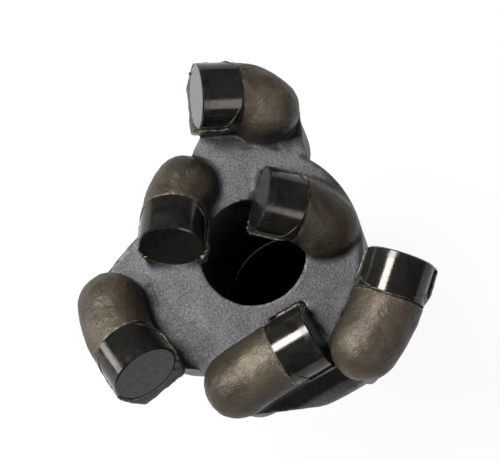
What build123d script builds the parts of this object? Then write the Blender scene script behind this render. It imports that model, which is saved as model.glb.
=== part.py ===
from build123d import *
import math
import os

# Three-wing concave drill bit for rock: one-piece steel body with six brazed diamond cutters.
# Rear face on Z = 0, crown upwards, bit axis on Z, all in millimetres.
# The bit cuts turning counter-clockwise seen from the crown.

# ---------------------------------------------------------------- driving sizes
# shank, rear thread and water way
shank_diameter = 53.5
rear_chamfer = 2.0
thread_bore_diameter = 40.0
thread_bore_depth = 46.0
thread_lead_chamfer = 1.5
water_hole_diameter = 25.9
water_hole_funnel = 3.0

# crown levels
plateau_height = 92.0
plateau_edge_chamfer = 0.8
outer_cutter_rise = 11.6
wing_top_drop = 0.9
heel_top_drop = 6.0
arm_height = 43.0
arm_foot_slope = 14.0
arm_draft = 8.0
arm_heel_radius = 10.0
arm_heel_reach = 30.5
arm_heel_angle = 297.0
arm_outer_diameter = 81.0
gusset_radius = 2.4
gusset_setback = 0.4
gusset_reach = 28.2
least_corner_radius = 1.2

# cutters
cutter_diameter = 16.0
cutter_length = 9.4
diamond_thickness = 2.0
diamond_chamfer = 0.35
braze_gap = 0.15

# rounded seats that back up the cutters
seat_wall = 0.8
seat_tail_wall = 0.1
seat_crown_step = 0.8
seat_foot_depth = 11.4
seat_foot_width = 12.6
seat_cup_height = 0.0
seat_shoulder_lean = 3.0
seat_taper_length = 3.0
seat_pad_setback = 4.0
seat_pad_rise = 0.6
seat_web_setback = 6.0
seat_web_inset = 0.9

# relief notch beside the outermost inner cutter
notch_reach = 1.8
notch_overlap = 1.5
notch_depth = 3.0

# ---------------------------------------------------------------- where the cutters sit
# radius, angle round the bit, height over the outer cutters, side rake, back rake,
# bend radius of the seat, bend angle of the seat
outer_back_rake = 20.9
inner_back_rake = 22.8
outer_side_rake = 12.2
seats = {
    "outer_1": dict(radius=38.0, angle=108.4, rise=0.0, side=outer_side_rake, back=outer_back_rake,
                    bend_radius=10.5, bend_angle=48.0),
    "outer_2": dict(radius=38.0, angle=232.3, rise=0.3, side=outer_side_rake, back=outer_back_rake,
                    bend_radius=28.0, bend_angle=26.0),
    "outer_3": dict(radius=36.4, angle=353.5, rise=0.0, side=outer_side_rake, back=0.0,
                    bend_radius=40.0, bend_angle=18.0),
    "inner_1": dict(radius=18.3, angle=178.7, rise=-3.6, side=-3.0, back=inner_back_rake,
                    bend_radius=16.0, bend_angle=30.0),
    "inner_2": dict(radius=11.9, angle=77.0, rise=-4.6, side=-1.5, back=inner_back_rake,
                    bend_radius=14.0, bend_angle=36.0),
    "inner_3": dict(radius=26.4, angle=307.5, rise=-4.5, side=9.0, back=6.0,
                    bend_radius=-120.0, bend_angle=-6.1),
}

# ---------------------------------------------------------------- derived sizes
cutter_radius = cutter_diameter / 2
seat_radius = cutter_radius + seat_wall
tail_radius = cutter_radius + seat_tail_wall
seat_top = cutter_radius - seat_crown_step
seat_straight = cutter_length
pocket_radius = cutter_radius + braze_gap
shank_radius = shank_diameter / 2
water_hole_radius = water_hole_diameter / 2
outer_cutter_height = plateau_height + outer_cutter_rise
wing_top = plateau_height - wing_top_drop
heel_top = plateau_height - heel_top_drop
arm_bottom = plateau_height - arm_height
far = 4 * seat_radius


def cutter_plane(seat):
    """Plane of a cutter's face: x points to the bit axis, y up the face, z the way it cuts."""
    angle = math.radians(seat["angle"])
    side = math.radians(seat["side"])
    back = math.radians(seat["back"])
    outward = Vector(math.cos(angle), math.sin(angle), 0)
    around = Vector(-math.sin(angle), math.cos(angle), 0)
    ahead = around * math.cos(side) + outward * math.sin(side)
    across = outward * math.cos(side) - around * math.sin(side)
    facing = ahead * math.cos(back) + Vector(0, 0, 1) * math.sin(back)
    centre = outward * seat["radius"] + Vector(0, 0, outer_cutter_height + seat["rise"])
    return Plane(origin=centre, x_dir=across * -1, z_dir=facing)


def seat_end(seat):
    """Location of the seat's rounded end, in the frame of its cutter."""
    turn = Pos(seat["bend_radius"], 0, -seat_straight) * Rot(0, -seat["bend_angle"], 0)
    return turn * Pos(-seat["bend_radius"], 0, 0)


def seat_section(radius):
    """Section of a seat: a round crown on skirts that draw in towards the foot."""
    crown = Pos(0, seat_top - radius) * Circle(radius)
    foot = Pos(0, -seat_foot_depth + 0.5) * Rectangle(seat_foot_width, 1)
    return make_hull(crown.edges() + foot.edges())


def make_seat(seat):
    """Seat behind one cutter: a cup, a taper, a bend round the bit axis and a domed end."""
    cup_length = seat_straight - seat_taper_length
    cup = extrude(seat_section(seat_radius), amount=-cup_length)
    tail_section = seat_section(tail_radius)
    taper = loft([Pos(0, 0, -cup_length) * seat_section(seat_radius), Pos(0, 0, -seat_straight) * tail_section])
    bend_axis = Axis((seat["bend_radius"], 0, 0), (0, -1, 0))
    bend = Pos(0, 0, -seat_straight) * revolve(tail_section, bend_axis, seat["bend_angle"])
    half = tail_section - Pos(-far / 2, 0) * Rectangle(far, 2 * far)
    dome = seat_end(seat) * revolve(half, Axis.Y, 180)
    return cup + taper + bend + dome - open_front()


def open_front():
    """Space over the cutter, so that the seat cups only its lower side and backs its rear."""
    back_of_cutter = -cutter_length - braze_gap
    profile = Polyline(
        (far, seat_cup_height),
        (seat_shoulder_lean - cutter_length, seat_cup_height),
        (back_of_cutter, cutter_radius),
        (back_of_cutter, far),
        (far, far),
        close=True,
    )
    blank = extrude(make_face(Plane.XY * profile), amount=seat_radius + 2, both=True)
    return Rot(0, -90, 0) * blank


def cutter_cylinder(radius, front, back):
    """Round bar on the cutter's axis between two distances from its face."""
    return Pos(0, 0, (front + back) / 2) * Cylinder(radius, front - back)


def make_pocket():
    """Round pocket that a cutter is brazed into."""
    return cutter_cylinder(pocket_radius, seat_wall, -cutter_length - braze_gap)


def make_braze(body_blank, plane):
    """Braze film that fills the gap between a cutter and its seat."""
    pocket = cutter_cylinder(pocket_radius, 0, -cutter_length - braze_gap)
    film = pocket - cutter_cylinder(cutter_radius, far, -cutter_length)
    return (plane * film) & body_blank


def make_diamond(plane):
    """Diamond table with a fine chamfer round its cutting edge."""
    table = cutter_cylinder(cutter_radius, 0, -diamond_thickness)
    rim = table.edges().sort_by(Axis.Z)[-1]
    return plane * chamfer(rim, diamond_chamfer)


def make_substrate(plane):
    """Tungsten carbide disc that carries the diamond table."""
    return plane * cutter_cylinder(cutter_radius, -diamond_thickness, -cutter_length)


def plan_point(name, distance, sideways=0.0):
    """Point of a seat seen from above, a distance behind the cutter's face."""
    seat = seats[name]
    plane = cutter_plane(seat)
    if distance <= seat_straight:
        local = Pos(sideways, 0, -distance)
    else:
        turned = math.degrees((distance - seat_straight) / seat["bend_radius"])
        turn = Pos(seat["bend_radius"], 0, -seat_straight) * Rot(0, -turned, 0)
        local = turn * Pos(sideways - seat["bend_radius"], 0, 0)
    spot = (plane.location * local).position
    return spot.X, spot.Y


def seat_run(name):
    """Length of a seat's centre line up to its domed end."""
    seat = seats[name]
    return seat_straight + math.radians(seat["bend_angle"]) * seat["bend_radius"]


def hull_outline(circles, height, inset=0.0):
    """Outline drawn tight round circles of (x, y, radius), at a height."""
    edges = ShapeList()
    for x, y, radius in circles:
        edges += (Pos(x, y) * Circle(max(radius - inset, least_corner_radius))).edges()
    return Pos(0, 0, height) * make_hull(edges)


def hull_block(circles, top, bottom, draft=0.0):
    """Block drawn tight round circles, narrower at its foot by a draft in degrees."""
    if draft == 0:
        return extrude(hull_outline(circles, bottom), amount=top - bottom)
    inset = (top - bottom) * math.tan(math.radians(draft))
    return loft([hull_outline(circles, top), hull_outline(circles, bottom, inset)], ruled=True)


def make_pad(name):
    """Narrow pad that fills the space between a seat's foot and its arm."""
    pad_radius = seat_foot_width / 2
    front = plan_point(name, seat_pad_setback + pad_radius)
    end = plan_point(name, seat_run(name))
    return hull_block([(*front, pad_radius), (*end, pad_radius)], plateau_height + seat_pad_rise, arm_bottom)


def make_arm(name, root_angle, root_reach, root_radius, top, extra):
    """Arm under a seat: it starts behind the seat's front foot and runs into the hub."""
    web = tail_radius - seat_web_inset
    front = plan_point(name, seat_web_setback + web)
    end = plan_point(name, seat_run(name))
    angle = math.radians(root_angle)
    root = (root_reach * math.cos(angle), root_reach * math.sin(angle))
    circles = [(*front, web), (*end, web), (*root, root_radius), *extra]
    return hull_block(circles, top, arm_bottom, arm_draft) + make_pad(name)


def make_gusset(name, angle):
    """Circles that bring an arm's front up to its seat's foot and fill it in towards the hub."""
    corner = plan_point(name, gusset_setback + gusset_radius, seat_foot_width / 2 - gusset_radius)
    turn = math.radians(angle)
    fill = (gusset_reach * math.cos(turn), gusset_reach * math.sin(turn))
    return [(*corner, gusset_radius), (*fill, gusset_radius)]


def make_heel():
    """Circles that widen the last arm so that it also carries the outermost inner seat."""
    angle = math.radians(arm_heel_angle)
    heel = (arm_heel_reach * math.cos(angle), arm_heel_reach * math.sin(angle), arm_heel_radius)
    end = plan_point("inner_3", seat_run("inner_3"))
    return [heel, (*end, tail_radius - seat_web_inset)]


def make_ledge(name):
    """Plateau carried outwards under an inner seat that stands past the hub."""
    ledge_radius = seat_foot_width / 2
    front = plan_point(name, ledge_radius - 1)
    end = plan_point(name, seat_run(name))
    hub = (0, 0, shank_radius - 1)
    return hull_block([hub, (*front, ledge_radius), (*end, ledge_radius)], plateau_height, arm_bottom)


def arm_envelope():
    """Turned outline that the arms are trimmed to: straight flanks on a conical foot."""
    outer = arm_outer_diameter / 2
    profile = Polyline(
        (0, arm_bottom - arm_foot_slope),
        (shank_radius - 1, arm_bottom - arm_foot_slope),
        (outer, arm_bottom + arm_foot_slope),
        (outer, plateau_height + far),
        (0, plateau_height + far),
        close=True,
    )
    return revolve(make_face(Plane.XZ * profile), Axis.Z)


def make_hub():
    """Shank and hub turned in one, with a chamfer at the rear and round the plateau."""
    blank = Pos(0, 0, plateau_height / 2) * Cylinder(shank_radius, plateau_height)
    rear = blank.edges().sort_by(Axis.Z)[0]
    blank = chamfer(rear, rear_chamfer)
    top = blank.edges().sort_by(Axis.Z)[-1]
    return chamfer(top, plateau_edge_chamfer)


def make_bores():
    """Water way through the hub and the bore for the rear thread."""
    water = Pos(0, 0, plateau_height / 2) * Cylinder(water_hole_radius, plateau_height)
    thread_radius = thread_bore_diameter / 2
    thread = Pos(0, 0, thread_bore_depth / 2) * Cylinder(thread_radius, thread_bore_depth)
    lead = Pos(0, 0, thread_lead_chamfer / 2) * Cone(
        thread_radius + thread_lead_chamfer, thread_radius, thread_lead_chamfer)
    funnel_top = thread_bore_depth + water_hole_funnel
    funnel = Pos(0, 0, funnel_top - water_hole_funnel / 2) * Cone(
        thread_radius, water_hole_radius, water_hole_funnel)
    return water + thread + lead + funnel


def make_notch(plane):
    """Relief cut into the plateau along the inner side of a cutter."""
    floor = -seat_foot_depth - notch_depth + (seat_foot_depth - cutter_radius)
    width = notch_reach + notch_overlap
    block = Box(width, cutter_radius, cutter_length, align=(Align.MIN, Align.MIN, Align.MAX))
    return plane * Pos(cutter_radius - notch_overlap, floor, 0) * block


def make_body_blank():
    """Steel body before the pockets are cut."""
    arms = make_arm("outer_1", 73, 18.8, 8.5, wing_top, make_gusset("outer_1", 117.0))
    arms += make_arm("outer_2", 166, 17.5, 9.4, wing_top, make_gusset("outer_2", 246.0))
    arms += make_arm("outer_3", 300, 14.0, 12.0, heel_top, make_heel())
    arms += make_ledge("inner_3")
    body = make_hub() + (arms & arm_envelope())
    body -= make_bores()
    for seat in seats.values():
        body += cutter_plane(seat) * make_seat(seat) - make_bores()
    return body


def write_part(shape, name):
    export_step(shape, f"parts/{name}.step")


def main():
    os.makedirs("parts", exist_ok=True)
    blank = make_body_blank()
    blank -= make_notch(cutter_plane(seats["inner_3"]))
    body = blank
    for name, seat in seats.items():
        plane = cutter_plane(seat)
        body -= plane * make_pocket()
        write_part(make_diamond(plane), f"{name}_diamond")
        write_part(make_substrate(plane), f"{name}_carbide")
        write_part(make_braze(blank, plane), f"{name}_braze")
    write_part(body, "bit_body")


main()
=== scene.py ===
import math

import bmesh
import bpy
import numpy as np
from mathutils import Matrix, Vector, noise


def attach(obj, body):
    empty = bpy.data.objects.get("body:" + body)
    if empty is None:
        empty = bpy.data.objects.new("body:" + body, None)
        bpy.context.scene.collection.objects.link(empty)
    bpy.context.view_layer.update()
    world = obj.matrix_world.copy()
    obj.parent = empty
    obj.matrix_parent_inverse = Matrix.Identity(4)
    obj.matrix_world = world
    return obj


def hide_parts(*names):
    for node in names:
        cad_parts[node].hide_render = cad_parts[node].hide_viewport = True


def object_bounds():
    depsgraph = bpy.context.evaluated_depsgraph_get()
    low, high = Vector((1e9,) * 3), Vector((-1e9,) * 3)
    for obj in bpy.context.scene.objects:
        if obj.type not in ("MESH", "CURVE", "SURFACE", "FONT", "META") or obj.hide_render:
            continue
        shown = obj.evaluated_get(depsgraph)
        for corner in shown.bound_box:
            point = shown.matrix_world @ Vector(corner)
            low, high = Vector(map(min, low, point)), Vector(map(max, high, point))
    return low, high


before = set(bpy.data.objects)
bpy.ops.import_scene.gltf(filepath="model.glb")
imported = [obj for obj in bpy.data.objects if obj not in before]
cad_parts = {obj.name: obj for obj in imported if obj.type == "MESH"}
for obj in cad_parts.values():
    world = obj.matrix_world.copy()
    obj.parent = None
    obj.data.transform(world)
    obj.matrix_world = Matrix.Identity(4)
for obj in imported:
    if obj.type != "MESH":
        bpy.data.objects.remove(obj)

# ------------------------------------------------------------------ steel body
# The body is one piece of alloy steel, shot-blasted after brazing.  The humped seats took
# an olive-brown scale from the brazing torch, and the hub kept its grey blasted grain.
# Each seat holds a round carbide disc with a diamond table on its front.
# The steep flanks of the seats carry painted shade, and the seats are darker towards their feet by the
# hub.

MM = 0.001
body_skin_step = 0.5 * MM
weld_distance = 0.002 * MM
kept_facets = 0.5
hub_height = 92.0 * MM
hub_radius = 26.75 * MM
arm_height = 86.0 * MM
crown_fade = 4.0 * MM
wing_step = 1.4 * MM
rim_overlap = 1.4 * MM
wing_edge = 0.3 * MM
wing_band = (0.4 * MM, 2.5 * MM)
least_wing_points = 3
level_gap = 0.02 * MM
flat_normal = 0.8
underside_normal = -0.2
pocket_reach = 2.0 * MM
pocket_clearance = 0.7 * MM
pocket_depth_clearance = 0.6 * MM
long_wave = (230, 0.22 * MM)
short_wave = (700, 0.09 * MM)
hub_wave_share = 0.25
scale_start = 0.7 * MM
scale_blend = 1.4 * MM
rim_scale_start = 0.5 * MM
rim_scale_blend = 1.5 * MM
# Faces steeper than this normal get painted shade, faded in over the blend below.
flank_shade_normal = 0.93
flank_shade_blend = 0.62
scale_foot_height = 12.0 * MM
scale_foot_drift = 5.0 * MM
blasted_steel = (0.094, 0.091, 0.097, 1)
blasted_shade = (0.022, 0.021, 0.022, 1)
seat_scale_light = (0.120, 0.098, 0.064, 1)
seat_scale_dark = (0.036, 0.027, 0.017, 1)
# Colour of the painted shade on the seats' flanks and of their darker feet.
seat_scale_shade_and_dark_foot = (0.014, 0.012, 0.009, 1)
seat_scale_rust = (0.060, 0.037, 0.025, 1)
# Sharp edges are made paler in patches; this is the paler colour.
pale_edge_colour = (0.21, 0.20, 0.18, 1)

cad_low, cad_high = [list(corner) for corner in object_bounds()]
cutter_names = sorted(name[: -len("_diamond")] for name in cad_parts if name.endswith("_diamond"))


def node_points(name):
    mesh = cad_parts[name].data
    points = np.empty(len(mesh.vertices) * 3)
    mesh.vertices.foreach_get("co", points)
    return points.reshape(-1, 3)


def middle(name):
    return Vector(node_points(name).mean(axis=0))


def span_along(name, direction):
    reach = node_points(name) @ np.array(direction)
    return reach.min(), reach.max()


class Cutter:
    """Frame of one cutter: x towards the bit axis, y up the face, z the way it cuts."""

    def __init__(self, name):
        self.name = name
        self.ahead = (middle(name + "_diamond") - middle(name + "_carbide")).normalized()
        centre = middle(name + "_carbide")
        front = span_along(name + "_diamond", self.ahead)[1]
        back = span_along(name + "_carbide", self.ahead)[0]
        self.face = centre + self.ahead * (front - centre.dot(self.ahead))
        self.up = (Vector((0, 0, 1)) - self.ahead * self.ahead.z).normalized()
        self.inward = self.up.cross(self.ahead)
        self.length = front - back
        across = span_along(name + "_carbide", self.inward)
        self.radius = (across[1] - across[0]) / 2

    def place(self, x, y, z):
        return self.face + self.inward * x + self.up * y + self.ahead * z

    def local(self, points):
        rows = np.array([self.inward, self.up, self.ahead])
        return (points - np.array(self.face)) @ rows.T


cutters = [Cutter(name) for name in cutter_names]


def modified_mesh(source, *modifiers):
    """New mesh from another object's mesh with modifiers applied."""
    work = bpy.data.objects.new("work", source.data.copy())
    bpy.context.collection.objects.link(work)
    for kind, settings in modifiers:
        modifier = work.modifiers.new(kind, kind)
        for key, value in settings.items():
            setattr(modifier, key, value)
    evaluated = work.evaluated_get(bpy.context.evaluated_depsgraph_get())
    mesh = bpy.data.meshes.new_from_object(evaluated)
    bpy.data.objects.remove(work)
    return mesh


def add_piece(name, mesh, material):
    """Piece of the bit made here: it rides on the one body and is shaded smooth."""
    piece = bpy.data.objects.new(name, mesh)
    bpy.context.collection.objects.link(piece)
    mesh.materials.clear()
    mesh.materials.append(material)
    mesh.polygons.foreach_set("use_smooth", [True] * len(mesh.polygons))
    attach(piece, "root")
    return piece


class Value:
    """Number that varies over a surface; sums and products of it add Math nodes."""

    def __init__(self, tree, socket):
        self.tree = tree
        self.socket = socket

    def math(self, operation, *others, first=None):
        node = self.tree.nodes.new("ShaderNodeMath")
        node.operation = operation
        terms = (self, *others) if first is None else (first, self)
        for entry, term in zip(node.inputs, terms):
            if isinstance(term, Value):
                self.tree.links.new(term.socket, entry)
            else:
                entry.default_value = term
        return Value(self.tree, node.outputs[0])

    def __add__(self, other):
        return self.math("ADD", other)

    def __sub__(self, other):
        return self.math("SUBTRACT", other)

    def __rsub__(self, other):
        return self.math("SUBTRACT", first=other)

    def __mul__(self, other):
        return self.math("MULTIPLY", other)

    def __truediv__(self, other):
        return self.math("DIVIDE", other)

    def __pow__(self, other):
        return self.math("POWER", other)

    __radd__ = __add__
    __rmul__ = __mul__

    def most(self, other):
        return self.math("MAXIMUM", other)

    def rise(self, low, high):
        """0 below low, 1 above high."""
        scaled = (self - low) / (high - low)
        return scaled.math("MINIMUM", 1.0).math("MAXIMUM", 0.0)


class Finish:
    """Material with a principled shader and a method that adds any node."""

    def __init__(self, name, **constants):
        self.material = bpy.data.materials.new(name)
        self.material.use_nodes = True
        self.tree = self.material.node_tree
        self.shader = self.tree.nodes["Principled BSDF"]
        for key, value in constants.items():
            self.shader.inputs[key.replace("_", " ")].default_value = value

    def node(self, kind, settings, inputs, output=0):
        made = self.tree.nodes.new(kind)
        for key, value in settings.items():
            setattr(made, key, value)
        for key, value in inputs.items():
            if isinstance(value, Value):
                self.tree.links.new(value.socket, made.inputs[key])
            else:
                made.inputs[key].default_value = value
        return Value(self.tree, made.outputs[output])

    def place(self):
        return self.node("ShaderNodeTexCoord", {}, {}, "Object")

    def axes(self):
        place = self.place()
        return [self.node("ShaderNodeSeparateXYZ", {}, {0: place}, axis) for axis in range(3)]

    def grain(self, per_metre, detail=3.0, roughness=0.55, distortion=0.0):
        return self.node("ShaderNodeTexNoise", {}, {
            "Vector": self.place(), "Scale": per_metre, "Detail": detail,
            "Roughness": roughness, "Distortion": distortion})

    def blend(self, factor, low, high):
        return self.node("ShaderNodeMix", {"data_type": "RGBA"}, {0: factor, 6: low, 7: high}, 2)

    def feed(self, entry, value):
        self.tree.links.new(value.socket, self.shader.inputs[entry])

    def bumps(self, *layers):
        """Stack of bump nodes from (height, depth in metres, strength)."""
        normal = None
        for height, depth, strength in layers:
            inputs = {"Height": height, "Distance": depth, "Strength": strength}
            if normal is not None:
                inputs["Normal"] = normal
            normal = self.node("ShaderNodeBump", {}, inputs)
        self.feed("Normal", normal)


def body_finish():
    """Grey blasted steel; where seat_scale is 1 it wears the brown scale of the torch, with painted shade
    on steep flanks and darker towards the feet of the seats.
    """
    finish = Finish("blasted_steel", Metallic=0.35, Specular_IOR_Level=0.45)
    seat = finish.node("ShaderNodeAttribute", {"attribute_name": "seat_scale"}, {}, "Fac")
    flank_shade = finish.node("ShaderNodeAttribute", {"attribute_name": "seat_flank_shade"}, {}, "Fac")
    cloud = finish.grain(95, 4.0, 0.6, 0.6).rise(0.36, 0.66)
    pepper = finish.grain(2100, 2.0, 0.7)
    grey = finish.blend(pepper.rise(0.35, 0.7) * 0.55 + cloud * 0.45, blasted_shade, blasted_steel)
    height = finish.axes()[2] + (cloud - 0.5) * scale_foot_drift
    foot = 1.0 - height.rise(hub_height, hub_height + scale_foot_height)
    # Painted shade on the steep flanks, and darker towards the feet of the seats by the hub.
    shade_and_dark_foot = foot.most(flank_shade + (cloud - 0.5) * 0.25)
    brown = finish.blend(cloud * 0.75 + pepper.rise(0.4, 0.7) * 0.25, seat_scale_dark, seat_scale_light)
    brown = finish.blend(shade_and_dark_foot * 0.85, brown, seat_scale_shade_and_dark_foot)
    rust = finish.grain(60, 3.0, 0.6, 0.4).rise(0.50, 0.62)
    brown = finish.blend(rust * 0.55, brown, seat_scale_rust)
    colour = finish.blend(seat, grey, brown)
    # Sharp edges, where Pointiness is high, are made paler in patches.
    edge = finish.node("ShaderNodeNewGeometry", {}, {}, "Pointiness").rise(0.512, 0.550)
    pale_edge_patches = edge * finish.grain(420, 3.0).rise(0.36, 0.52)
    finish.feed("Base Color", finish.blend(pale_edge_patches * 0.8, colour, pale_edge_colour))
    finish.feed("Roughness", 0.60 - pepper.rise(0.3, 0.75) * 0.16 - seat * 0.06 - pale_edge_patches * 0.12)
    wrinkle = finish.grain(420, 3.0, 0.6, 1.2) * (0.15 + seat * 0.85)
    crease = finish.grain(110, 3.0, 0.6, 1.0).rise(0.46, 0.54) * seat
    finish.bumps((wrinkle, 0.35 * MM, 0.6), (crease, 0.25 * MM, 0.22), (pepper, 0.12 * MM, 0.8))
    return finish.material


def from_axis(points):
    return np.hypot(points[:, 0], points[:, 1])


def level_wing_tops(points, normals):
    """Blend the tops of the wings into the hub, where the casting has no step."""
    off_rim = from_axis(points) - hub_radius
    degree = np.degrees(np.arctan2(points[:, 1], points[:, 0])).astype(int) % 360
    top = (points[:, 2] > hub_height - wing_step) & (points[:, 2] < hub_height)
    wing = top & (normals[:, 2] > flat_normal) & (off_rim > wing_band[0]) & (off_rim < wing_band[1])
    wing_points_at = np.bincount(degree[wing], minlength=360)
    joined = top & (off_rim > -rim_overlap) & (normals[:, 2] > underside_normal)
    joined &= (off_rim > wing_edge) | (wing_points_at[degree] > least_wing_points)
    points[joined, 2] = hub_height - level_gap


def mesh_arrays(mesh):
    points = np.empty(len(mesh.vertices) * 3)
    mesh.vertices.foreach_get("co", points)
    normals = np.empty(len(mesh.vertices) * 3)
    mesh.vertices.foreach_get("normal", normals)
    return points.reshape(-1, 3), normals.reshape(-1, 3)


def body_blank():
    """Mesh of the body with even facets, level wing tops and soft corners."""
    weld = ("WELD", {"merge_threshold": weld_distance})
    voxels = ("REMESH", {"mode": "VOXEL", "voxel_size": body_skin_step, "use_smooth_shade": True})
    soften = ("SMOOTH", {"factor": 0.5, "iterations": 4})
    thin = ("DECIMATE", {"ratio": kept_facets})
    rough = modified_mesh(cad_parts["bit_body"], weld, voxels)
    points, normals = mesh_arrays(rough)
    level_wing_tops(points, normals)
    rough.vertices.foreach_set("co", points.ravel())
    blank = bpy.data.objects.new("blank", rough)
    mesh = modified_mesh(blank, voxels, soften, thin)
    bpy.data.objects.remove(blank)
    return mesh


def wave_depth(points):
    """Share of the casting's waves: full on the seats, less on the hub, none in the pockets."""
    low_hub = (points[:, 2] < hub_height + 0.5 * MM) & (from_axis(points) < hub_radius)
    crown = np.clip((points[:, 2] - arm_height) / crown_fade, 0, 1)
    depth = np.where(low_hub, hub_wave_share, 1.0) * crown
    for cutter in cutters:
        spot = cutter.local(points)
        near_axis = np.hypot(spot[:, 0], spot[:, 1]) < cutter.radius + pocket_clearance
        in_front = spot[:, 2] > -cutter.length - pocket_depth_clearance
        depth[near_axis & in_front & (spot[:, 2] < pocket_reach)] = 0.0
    return depth


def paint_mask(mesh, name, values):
    mask = mesh.attributes.new(name, "FLOAT", "POINT")
    mask.data.foreach_set("value", values)


def body_mesh():
    """Skin of the body, with the waves of a torch-brazed piece, a mask for its scale and a mask for
    painted shade on its steep faces.
    """
    mesh = body_blank()
    points, normals = mesh_arrays(mesh)
    radius = from_axis(points)
    depth = wave_depth(points)
    for index in np.nonzero(depth > 0)[0]:
        spot = Vector(points[index])
        swell = sum(noise.noise(spot * pitch) * height for pitch, height in (long_wave, short_wave))
        points[index] += normals[index] * (swell * depth[index])
    points = np.clip(points, cad_low, cad_high)
    mesh.vertices.foreach_set("co", points.ravel())
    above_hub = np.clip((points[:, 2] - hub_height - scale_start) / scale_blend, 0, 1)
    off_hub = np.clip((radius - hub_radius - rim_scale_start) / rim_scale_blend, 0, 1)
    wing_side = np.clip((points[:, 2] - arm_height) / crown_fade, 0, 1) * off_hub
    wing_side *= np.clip((flat_normal - normals[:, 2]) / (1.0 - flat_normal), 0, 1)
    paint_mask(mesh, "seat_scale", np.maximum(above_hub, wing_side))
    # Mask for the painted shade on steep faces.
    paint_mask(mesh, "seat_flank_shade", np.clip((flank_shade_normal - normals[:, 2]) / flank_shade_blend, 0, 1))
    mesh.update()
    return mesh


body = add_piece("bit_body_skin", body_mesh(), body_finish())
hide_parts("bit_body")

# ------------------------------------------------------------------ carbide discs
# Ground tungsten carbide, dark and smooth, with the fine rings that a centreless grinder
# leaves round it.  Each disc is brazed into the pocket of its seat.

carbide_light = (0.060, 0.057, 0.050, 1)
carbide_dark = (0.022, 0.019, 0.016, 1)
rings_per_metre = 5200.0


def carbide_finish(cutter):
    """Ground carbide; the rings of the grinder lie across the cutter's own axis."""
    finish = Finish(cutter.name + "_carbide_ground", Metallic=0.75, Specular_IOR_Level=0.5)
    along = finish.node("ShaderNodeVectorMath", {"operation": "DOT_PRODUCT"}, {
        0: finish.place(), 1: tuple(cutter.ahead)}, "Value")
    rings = finish.node("ShaderNodeTexNoise", {"noise_dimensions": "1D"}, {
        "W": along, "Scale": rings_per_metre, "Detail": 3.0, "Roughness": 0.6})
    smear = finish.grain(180, 4.0, 0.6, 0.8).rise(0.35, 0.7)
    finish.feed("Base Color", finish.blend(smear * 0.7 + rings * 0.3, carbide_dark, carbide_light))
    finish.feed("Roughness", 0.08 + smear * 0.07 + rings * 0.04)
    finish.bumps((rings, 0.02 * MM, 0.35), (finish.grain(900, 3.0), 0.03 * MM, 0.25))
    return finish.material


def paint_node(name, material):
    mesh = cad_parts[name].data
    mesh.materials.clear()
    mesh.materials.append(material)


for cutter in cutters:
    paint_node(cutter.name + "_carbide", carbide_finish(cutter))

# ------------------------------------------------------------------ diamond tables
# Sintered diamond, almost black, lapped flat on the face and ground on the rim.  It is
# grown on to the carbide disc, so only the change of colour shows the joint.

diamond_dark = (0.020, 0.018, 0.016, 1)
diamond_light = (0.045, 0.042, 0.037, 1)


def diamond_finish():
    finish = Finish("lapped_diamond", Metallic=0.65, Specular_IOR_Level=0.5)
    mottle = finish.grain(600, 4.0, 0.65).rise(0.35, 0.7)
    finish.feed("Base Color", finish.blend(mottle, diamond_dark, diamond_light))
    finish.feed("Roughness", 0.16 + mottle * 0.10)
    finish.bumps((finish.grain(1400, 2.0), 0.02 * MM, 0.3),)
    return finish.material


diamond_material = diamond_finish()
for cutter in cutters:
    paint_node(cutter.name + "_diamond", diamond_material)

# ------------------------------------------------------------------ braze
# Silver braze fills the gap round each disc, and a lumpy bead of it stands along the lip
# of the seat and over the step behind the disc.  A few drops froze at the pocket's mouth.

braze_light = (0.105, 0.100, 0.074, 1)
braze_dark = (0.022, 0.019, 0.013, 1)
bead_sides = 8
bead_steps = 96
lip_height = 1.0 * MM
lip_front = 0.4 * MM
shoulder_start = 6.4 * MM
shoulder_behind_disc = 0.25 * MM
bead_stand_off = 0.05 * MM
bead_sink_on_top = 0.75 * MM
bead_thin = 0.12 * MM
bead_thick = 0.55 * MM
bead_lumps = 420
drop_stand_off = 0.45 * MM
drop_set_back = 0.15 * MM
drop_lumps = 1500
drops = ((-22, 0.55 * MM), (-38, 0.80 * MM), (-55, 0.45 * MM), (-150, 0.50 * MM))


def braze_finish():
    finish = Finish("silver_braze", Metallic=0.6, Specular_IOR_Level=0.5)
    stain = finish.grain(500, 4.0, 0.65, 0.5).rise(0.35, 0.65)
    finish.feed("Base Color", finish.blend(stain, braze_dark, braze_light))
    finish.feed("Roughness", 0.34 + stain * 0.18)
    finish.bumps((finish.grain(1300, 3.0), 0.06 * MM, 0.5),)
    return finish.material


def bead_path(cutter, share):
    """Point of the bead, from the front of one lip over the disc's back to the other."""
    turn = math.pi * share
    reach = cutter.radius + bead_stand_off - bead_sink_on_top * max(0.0, math.sin(turn)) ** 3
    side = math.cos(turn) * reach
    height = math.sin(turn) * reach
    if height < lip_height:
        run = height / lip_height
        return side, lip_height, -lip_front - (shoulder_start - lip_front) * run
    climb = (height - lip_height) / (cutter.radius - lip_height)
    shoulder_end = cutter.length + shoulder_behind_disc
    return side, height, -shoulder_start - (shoulder_end - shoulder_start) * min(1.0, climb * 1.1)


def add_drops(cutter, mesh):
    """Frozen drops of braze that ran down to the mouth of the pocket."""
    work = bmesh.new()
    work.from_mesh(mesh)
    reach = cutter.radius + drop_stand_off
    for degrees, size in drops:
        turn = math.radians(degrees)
        centre = cutter.place(reach * math.cos(turn), reach * math.sin(turn), -drop_set_back)
        place = Matrix.Translation(centre)
        ball = bmesh.ops.create_icosphere(work, subdivisions=3, radius=size, matrix=place)
        for vertex in ball["verts"]:
            vertex.co += (vertex.co - centre) * noise.noise(vertex.co * drop_lumps) * 0.5
    work.to_mesh(mesh)
    work.free()


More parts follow.
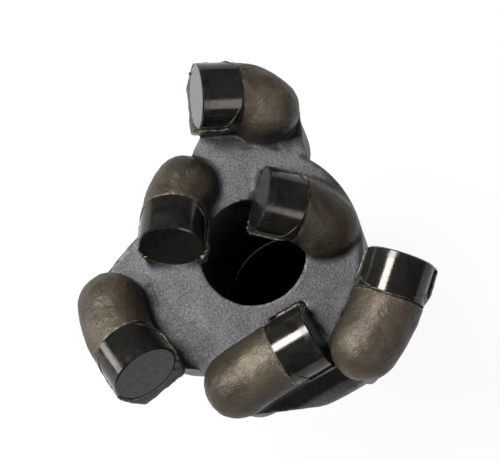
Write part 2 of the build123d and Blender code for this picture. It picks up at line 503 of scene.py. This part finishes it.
def bead_thickness(centre, step):
    """Lumpy, thick over the disc's back and drawn out thin at both ends."""
    lump = 0.5 + 0.5 * noise.noise(centre * bead_lumps)
    over_top = math.sin(math.pi * step / bead_steps)
    thick = bead_thin + (bead_thick - bead_thin) * lump * (0.35 + 0.65 * over_top)
    return thick * min(1.0, 0.25 + 6 * min(step, bead_steps - step) / bead_steps)


def bead_mesh(cutter):
    """Closed lumpy tube along the bead's path, with the drops."""
    centres = [cutter.place(*bead_path(cutter, step / bead_steps)) for step in range(bead_steps + 1)]
    vertices = []
    faces = []
    across = (centres[1] - centres[0]).normalized().orthogonal()
    for step, centre in enumerate(centres):
        ahead = centres[min(step + 1, bead_steps)] - centres[max(step - 1, 0)]
        ahead.normalize()
        across = (across - ahead * across.dot(ahead)).normalized()
        upward = ahead.cross(across)
        thick = bead_thickness(centre, step)
        for side in range(bead_sides):
            turn = 2 * math.pi * side / bead_sides
            vertices.append(centre + (across * math.cos(turn) + upward * math.sin(turn)) * thick)
    for step in range(bead_steps):
        for side in range(bead_sides):
            here = step * bead_sides + side
            beside = step * bead_sides + (side + 1) % bead_sides
            faces.append((here, beside, beside + bead_sides, here + bead_sides))
    last_ring = bead_steps * bead_sides
    faces.append(tuple(reversed(range(bead_sides))))
    faces.append(tuple(last_ring + side for side in range(bead_sides)))
    mesh = bpy.data.meshes.new(cutter.name + "_bead")
    mesh.from_pydata(vertices, [], faces)
    add_drops(cutter, mesh)
    return mesh


braze_material = braze_finish()
for cutter in cutters:
    paint_node(cutter.name + "_braze", braze_material)
    add_piece(cutter.name + "_braze_bead", bead_mesh(cutter), braze_material)

# ------------------------------------------------------------------ rear thread
# The drill rod screws into the rear of the bit.  The thread is a coarse one with blunt
# crests, cut in the lathe, and its turns stand inwards from the wall of the bore.

thread_radius = 20.0 * MM
thread_pitch = 5.0 * MM
thread_base = 0.8 * thread_pitch
thread_crest = 1.1 * MM
thread_bite = 0.02 * MM
thread_start = 4.0 * MM
thread_turns = 7.5
steps_per_turn = 64
# The thread's colours are painted near black, as painted shade for the dark inside of the bore.
thread_shaded_dark = (0.020, 0.018, 0.016, 1)
thread_shaded_light = (0.040, 0.037, 0.034, 1)


def thread_tree(material):
    """Helix of the given turns with a blunt ridge swept along it."""
    tree = bpy.data.node_groups.new("rear_thread", "GeometryNodeTree")
    face = tree.interface
    sizes = {
        "Turns": thread_turns,
        "Radius": thread_radius - thread_crest / 2 + thread_bite,
        "Rise": thread_turns * thread_pitch,
        "Base": thread_base,
        "Crest": thread_crest,
    }
    face.new_socket("Geometry", in_out="OUTPUT", socket_type="NodeSocketGeometry")
    for label, value in sizes.items():
        face.new_socket(label, in_out="INPUT", socket_type="NodeSocketFloat").default_value = value
    group = tree.nodes.new("NodeGroupInput")

    def node(kind, entries, constants=None, mode=None):
        """Node whose named entries are fed by (node, output) pairs."""
        made = tree.nodes.new(kind)
        if mode:
            made.mode = mode
        for key, (source, output) in entries.items():
            tree.links.new(source.outputs[output], made.inputs[key])
        for key, value in (constants or {}).items():
            made.inputs[key].default_value = value
        return made

    spiral = node("GeometryNodeCurveSpiral", {
        "Rotations": (group, "Turns"), "Start Radius": (group, "Radius"),
        "End Radius": (group, "Radius"), "Height": (group, "Rise")}, {"Resolution": steps_per_turn})
    upright = node("GeometryNodeSetCurveNormal", {"Curve": (spiral, "Curve")}, mode="Z_UP")
    ridge = node("GeometryNodeCurvePrimitiveQuadrilateral", {
        "Bottom Width": (group, "Base"), "Top Width": (group, "Crest"),
        "Height": (group, "Crest")}, {"Offset": 0.0}, "TRAPEZOID")
    inwards = {"Rotation": (0, 0, math.radians(-90))}
    turned = node("GeometryNodeTransform", {"Geometry": (ridge, "Curve")}, inwards)
    sweep = node("GeometryNodeCurveToMesh", {
        "Curve": (upright, "Curve"), "Profile Curve": (turned, "Geometry")}, {"Fill Caps": True})
    real = node("GeometryNodeRealizeInstances", {"Geometry": (sweep, "Mesh")})
    paint = node("GeometryNodeSetMaterial", {"Geometry": (real, "Geometry")}, {"Material": material})
    node("NodeGroupOutput", {"Geometry": (paint, "Geometry")})
    return tree


def thread_mesh(material):
    carrier = bpy.data.objects.new("carrier", bpy.data.meshes.new("carrier"))
    bpy.context.collection.objects.link(carrier)
    modifier = carrier.modifiers.new("thread", "NODES")
    modifier.node_group = thread_tree(material)
    evaluated = carrier.evaluated_get(bpy.context.evaluated_depsgraph_get())
    mesh = bpy.data.meshes.new_from_object(evaluated)
    bpy.data.objects.remove(carrier)
    mesh.transform(Matrix.Translation((0, 0, thread_start)))
    return mesh


def thread_finish():
    finish = Finish("turned_steel", Metallic=0.85, Specular_IOR_Level=0.5)
    wear = finish.grain(700, 3.0).rise(0.35, 0.7)
    finish.feed("Base Color", finish.blend(wear, thread_shaded_dark, thread_shaded_light))
    finish.feed("Roughness", 0.50 + wear * 0.15)
    finish.bumps((finish.grain(2500, 2.0), 0.03 * MM, 0.3),)
    return finish.material


turned_material = thread_finish()
add_piece("rear_thread", thread_mesh(turned_material), turned_material)

# ------------------------------------------------------------------ floor, light and camera
# The bit stands on its rear face on a plain white table under four soft lamps.  Inside the
# bore the table is painted dark and does not glow: painted shade where no light falls.

table_reach = 3.0
table_white = (0.86, 0.86, 0.86, 1)
bore_shade_colour = (0.01, 0.01, 0.01, 1)
table_glow = 0.94
room_glow = 0.92
room_light = 0.08


def white_table():
    low, high = -table_reach, table_reach
    mesh = bpy.data.meshes.new("table")
    mesh.from_pydata([(low, low, 0), (high, low, 0), (high, high, 0), (low, high, 0)], [], [(0, 1, 2, 3)])
    table = bpy.data.objects.new("table", mesh)
    bpy.context.collection.objects.link(table)
    finish = Finish("white_table", Roughness=0.9)
    x, y = finish.axes()[:2]
    # Painted shade: the table is dark and does not glow inside the bore's circle.
    bore_shade_mask = 1.0 - ((x * x + y * y) ** 0.5).rise(thread_radius, hub_radius)
    finish.feed("Base Color", finish.blend(bore_shade_mask, table_white, bore_shade_colour))
    rays = finish.tree.nodes.new("ShaderNodeLightPath")
    seen = Value(finish.tree, rays.outputs["Is Camera Ray"])
    for kind in ("Is Glossy Ray", "Is Transmission Ray"):
        seen = seen.most(Value(finish.tree, rays.outputs[kind]))
    seen = seen * table_glow * (1.0 - bore_shade_mask)
    glow = finish.tree.nodes.new("ShaderNodeEmission")
    mix = finish.tree.nodes.new("ShaderNodeMixShader")
    finish.tree.links.new(seen.socket, mix.inputs[0])
    finish.tree.links.new(finish.shader.outputs[0], mix.inputs[1])
    finish.tree.links.new(glow.outputs[0], mix.inputs[2])
    finish.tree.links.new(mix.outputs[0], finish.tree.nodes["Material Output"].inputs[0])
    mesh.materials.append(finish.material)


def soft_lamp(name, place, aim, size, watts):
    lamp = bpy.data.lights.new(name, "AREA")
    lamp.shape = "RECTANGLE"
    lamp.size = size[0]
    lamp.size_y = size[1]
    lamp.energy = watts
    thing = bpy.data.objects.new(name, lamp)
    thing.location = place
    thing.rotation_euler = (Vector(aim) - Vector(place)).to_track_quat("-Z", "Y").to_euler()
    bpy.context.collection.objects.link(thing)


def pale_room():
    world = bpy.data.worlds.new("room")
    bpy.context.scene.world = world
    world.use_nodes = True
    tree = world.node_tree
    room = tree.nodes["Background"]
    room.inputs["Color"].default_value = (1, 1, 1, 1)
    rays = tree.nodes.new("ShaderNodeLightPath")
    seen = Value(tree, rays.outputs["Is Camera Ray"])
    tree.links.new((seen * room_glow + room_light).socket, room.inputs["Strength"])


white_table()
pale_room()
bit_middle = (0, 0, 0.09)
soft_lamp("key", (-0.26, 0.16, 0.72), bit_middle, (0.26, 0.26), 6.0)
soft_lamp("streak", (-0.40, -0.10, 0.62), bit_middle, (0.035, 0.035), 2.2)
soft_lamp("fill", (0.35, -0.40, 0.45), bit_middle, (0.30, 0.30), 0.9)
soft_lamp("left", (-0.60, 0.02, 0.24), bit_middle, (0.30, 0.16), 1.3)

camera_place = Vector((44.34, -52.55, 395.63)) * MM
camera_right = Vector((0.9892, 0.0, -0.14657)).normalized()
camera_sight = Vector((-0.14404, 0.18509, -0.97211)).normalized()
camera_up = camera_right.cross(camera_sight)
camera_data = bpy.data.cameras.new("camera")
camera_data.sensor_width = 36.0
camera_data.lens = 92.7
camera_data.clip_start = 0.01
camera = bpy.data.objects.new("camera", camera_data)
camera.matrix_world = Matrix((
    (camera_right.x, camera_up.x, -camera_sight.x, camera_place.x),
    (camera_right.y, camera_up.y, -camera_sight.y, camera_place.y),
    (camera_right.z, camera_up.z, -camera_sight.z, camera_place.z),
    (0, 0, 0, 1),
))
bpy.context.collection.objects.link(camera)
bpy.context.scene.camera = camera
bpy.context.scene.view_settings.view_transform = "Standard"
